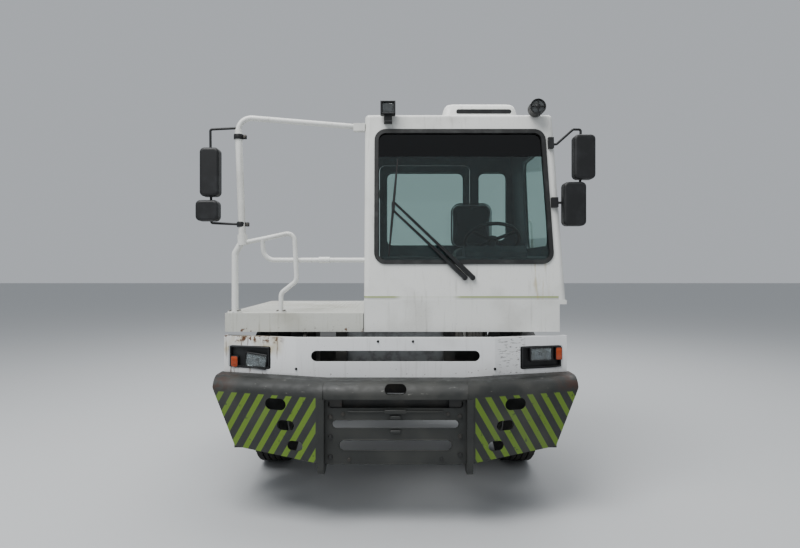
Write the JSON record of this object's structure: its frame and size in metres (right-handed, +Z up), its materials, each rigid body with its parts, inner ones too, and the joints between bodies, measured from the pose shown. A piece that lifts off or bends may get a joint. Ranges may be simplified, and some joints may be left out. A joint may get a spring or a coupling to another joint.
{
  "type": "terminal tractor",
  "caption": "Yard tractor with a one-man cab beside a railed walkway, a wide pushing bumper and a lifting fifth wheel.",
  "frame": {"origin": "on the ground, in the middle of the length and width", "axes": "+Z up, the front faces -Y, +X is the driver's left side with the cab"},
  "size_m": [2.86, 5.6, 3.04],
  "materials": {
    "white_paint": "worn white gloss paint on steel",
    "grey_paint": "faded light grey paint on chequer plate",
    "dark_paint": "dark grey chassis paint",
    "bumper_paint": "dark grey paint with slanting lime stripes, scuffed",
    "cast_iron": "cast iron, dusty",
    "steel": "bare and greased steel",
    "chrome": "chromed cylinder rods",
    "wheel_paint": "silver grey wheel paint",
    "tyre_rubber": "black tyre rubber, dusty",
    "seal_rubber": "black rubber",
    "black_plastic": "black moulded plastic",
    "grey_plastic": "dark grey moulded plastic",
    "amber_plastic": "amber lamp plastic",
    "clear_lens": "clear lamp glass",
    "cab_glazing": "lightly tinted safety glass",
    "seat_cloth": "dark woven seat cloth",
    "aluminium": "bare aluminium"
  },
  "bodies": {
    "chassis": {"frame_rails": "dark_paint", "cross_members": "dark_paint", "engine_block": "cast_iron", "radiator": "aluminium", "fuel_tank": "dark_paint", "battery_box": "dark_paint", "exhaust_muffler": "steel", "front_axle_beam": "cast_iron", "leaf_springs": "cast_iron", "rear_axle_housing": "cast_iron", "prop_shaft": "steel", "front_bumper": "bumper_paint", "front_panel": "white_paint", "head_lamps": "black_plastic", "head_lamp_lenses": "clear_lens", "signal_lamps": "amber_plastic", "platform_frame": "dark_paint", "platform_deck": "grey_paint", "rear_deck": "grey_paint", "front_mudguards": "black_plastic", "access_steps": "dark_paint", "mirror_gantry": "white_paint", "handrails": "white_paint", "mirror_arms": "black_plastic", "mirror_heads": "black_plastic", "cab_floor": "white_paint", "cab_front_wall": "white_paint", "cab_rear_wall": "white_paint", "cab_side_wall": "white_paint", "cab_door_wall": "white_paint", "cab_roof": "white_paint", "windscreen_seal": "seal_rubber", "cab_glass": "cab_glazing", "roof_unit": "white_paint", "work_lamps": "black_plastic", "wiper": "black_plastic", "seat_base": "dark_paint", "seat_cushions": "seat_cloth", "dashboard": "grey_plastic", "steering_wheel": "black_plastic"},
    "side_door": {"side_door_panel": "white_paint", "side_door_glass": "cab_glazing"},
    "rear_door": {"rear_door_panel": "white_paint", "rear_door_glass": "cab_glazing"},
    "boom": {"lift_boom": "dark_paint"},
    "coupler": {"fifth_wheel_plate": "steel"},
    "cylinder_barrels": {"lift_barrels": "dark_paint"},
    "cylinder_rods": {"lift_rods": "chrome"},
    "left_knuckle": {"knuckle_left": "cast_iron"},
    "right_knuckle": {"knuckle_right": "cast_iron"},
    "steering_rod": {"tie_rod": "steel"},
    "wheel_front_left": {"rim_front_left": "wheel_paint", "tyre_front_left": "tyre_rubber"},
    "wheel_front_right": {"rim_front_right": "wheel_paint", "tyre_front_right": "tyre_rubber"},
    "wheel_rear_left": {"rim_rear_left": "wheel_paint", "tyre_rear_left": "tyre_rubber"},
    "wheel_rear_right": {"rim_rear_right": "wheel_paint", "tyre_rear_right": "tyre_rubber"}
  },
  "joints": [
    {"name": "steer_left", "type": "hinge", "parent": "chassis", "child": "left_knuckle", "pos_m": [0.84, -1.35, 0.515], "axis": [0, 0, 1], "range_deg": [-38, 38]},
    {"name": "steer_right", "type": "hinge", "parent": "chassis", "child": "right_knuckle", "pos_m": [-0.84, -1.35, 0.515], "axis": [0, 0, 1], "range_deg": [-38, 38]},
    {"name": "tie_rod_turn", "type": "hinge", "parent": "left_knuckle", "child": "steering_rod", "pos_m": [0.84, -1.17, 0.405], "axis": [0, 0, 1], "range_deg": [-38, 38]},
    {"name": "wheel_front_left_spin", "type": "hinge", "parent": "left_knuckle", "child": "wheel_front_left", "pos_m": [1.03, -1.35, 0.525], "axis": [1, 0, 0], "continuous": true},
    {"name": "wheel_front_right_spin", "type": "hinge", "parent": "right_knuckle", "child": "wheel_front_right", "pos_m": [-1.03, -1.35, 0.525], "axis": [1, 0, 0], "continuous": true},
    {"name": "wheel_rear_left_spin", "type": "hinge", "parent": "chassis", "child": "wheel_rear_left", "pos_m": [0.945, 1.75, 0.525], "axis": [1, 0, 0], "continuous": true},
    {"name": "wheel_rear_right_spin", "type": "hinge", "parent": "chassis", "child": "wheel_rear_right", "pos_m": [-0.945, 1.75, 0.525], "axis": [1, 0, 0], "continuous": true},
    {"name": "side_door_hinge", "type": "hinge", "parent": "chassis", "child": "side_door", "pos_m": [1.23799, -2.107, 1.45453], "axis": [-0.0446, 0, 0.999], "range_deg": [-78, 0]},
    {"name": "rear_door_hinge", "type": "hinge", "parent": "chassis", "child": "rear_door", "pos_m": [-0.157, -0.788, 1.454], "axis": [0, 0, 1], "range_deg": [0, 95]},
    {"name": "boom_lift", "type": "hinge", "parent": "chassis", "child": "boom", "pos_m": [0, -0.15, 1.05], "axis": [1, 0, 0], "range_deg": [0, 15]},
    {"name": "coupler_tilt", "type": "hinge", "parent": "boom", "child": "coupler", "pos_m": [0, 1.5, 1.12], "axis": [1, 0, 0], "range_deg": [-12, 12]},
    {"name": "cylinder_swing", "type": "hinge", "parent": "chassis", "child": "cylinder_barrels", "pos_m": [0, 0.8, 0.62], "axis": [1, 0, 0], "range_deg": [0, 18.5]},
    {"name": "rod_extend", "type": "slide", "parent": "cylinder_barrels", "child": "cylinder_rods", "axis": [0, 0.6313, 0.7756], "range_m": [0, 0.272]}
  ],
  "couplings": [
    {"joint": "steer_right", "follows": "steer_left", "ratio": 1},
    {"joint": "tie_rod_turn", "follows": "steer_left", "ratio": -1},
    {"joint": "cylinder_swing", "follows": "boom_lift", "ratio": 1.2},
    {"joint": "rod_extend", "follows": "boom_lift", "m_per_rad": 1.035}
  ]
}
